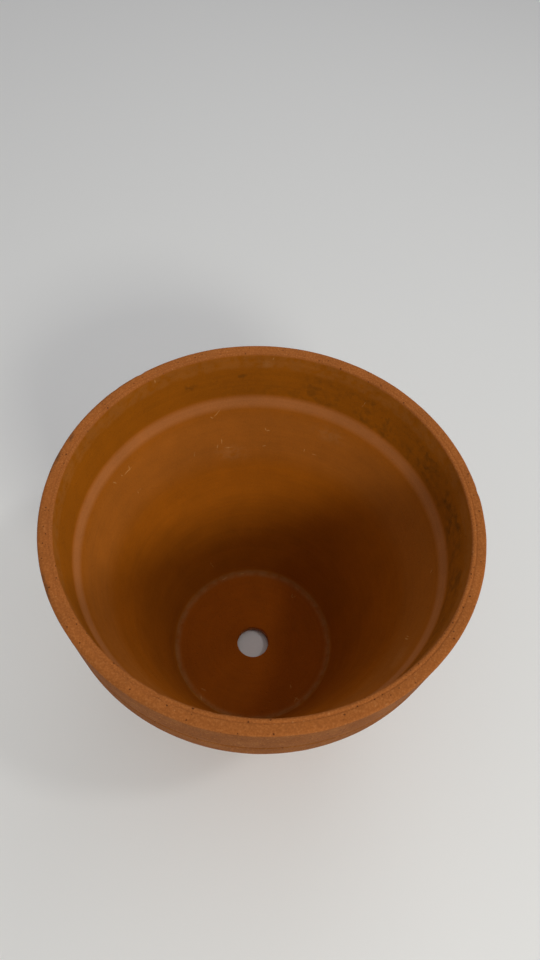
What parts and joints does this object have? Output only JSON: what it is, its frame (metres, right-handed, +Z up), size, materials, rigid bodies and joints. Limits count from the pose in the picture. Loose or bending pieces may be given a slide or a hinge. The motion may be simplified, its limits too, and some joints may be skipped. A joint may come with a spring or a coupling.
{
  "type": "terracotta pot",
  "caption": "Round tapered fired-clay flower pot with a thick rim band, an open top and a central drain hole in its floor.",
  "frame": {"origin": "centre of the foot's resting plane, on the pot's axis", "axes": "+Z up along the pot's axis, from the foot to the open mouth; the pot is the same all round, so +X and +Y are free"},
  "size_m": [0.2098, 0.2098, 0.191],
  "materials": {
    "fired_clay": "unglazed, matte, fine-grained with small pits and light scuffs"
  },
  "bodies": {
    "root": {"pot": "fired_clay"}
  },
  "joints": []
}
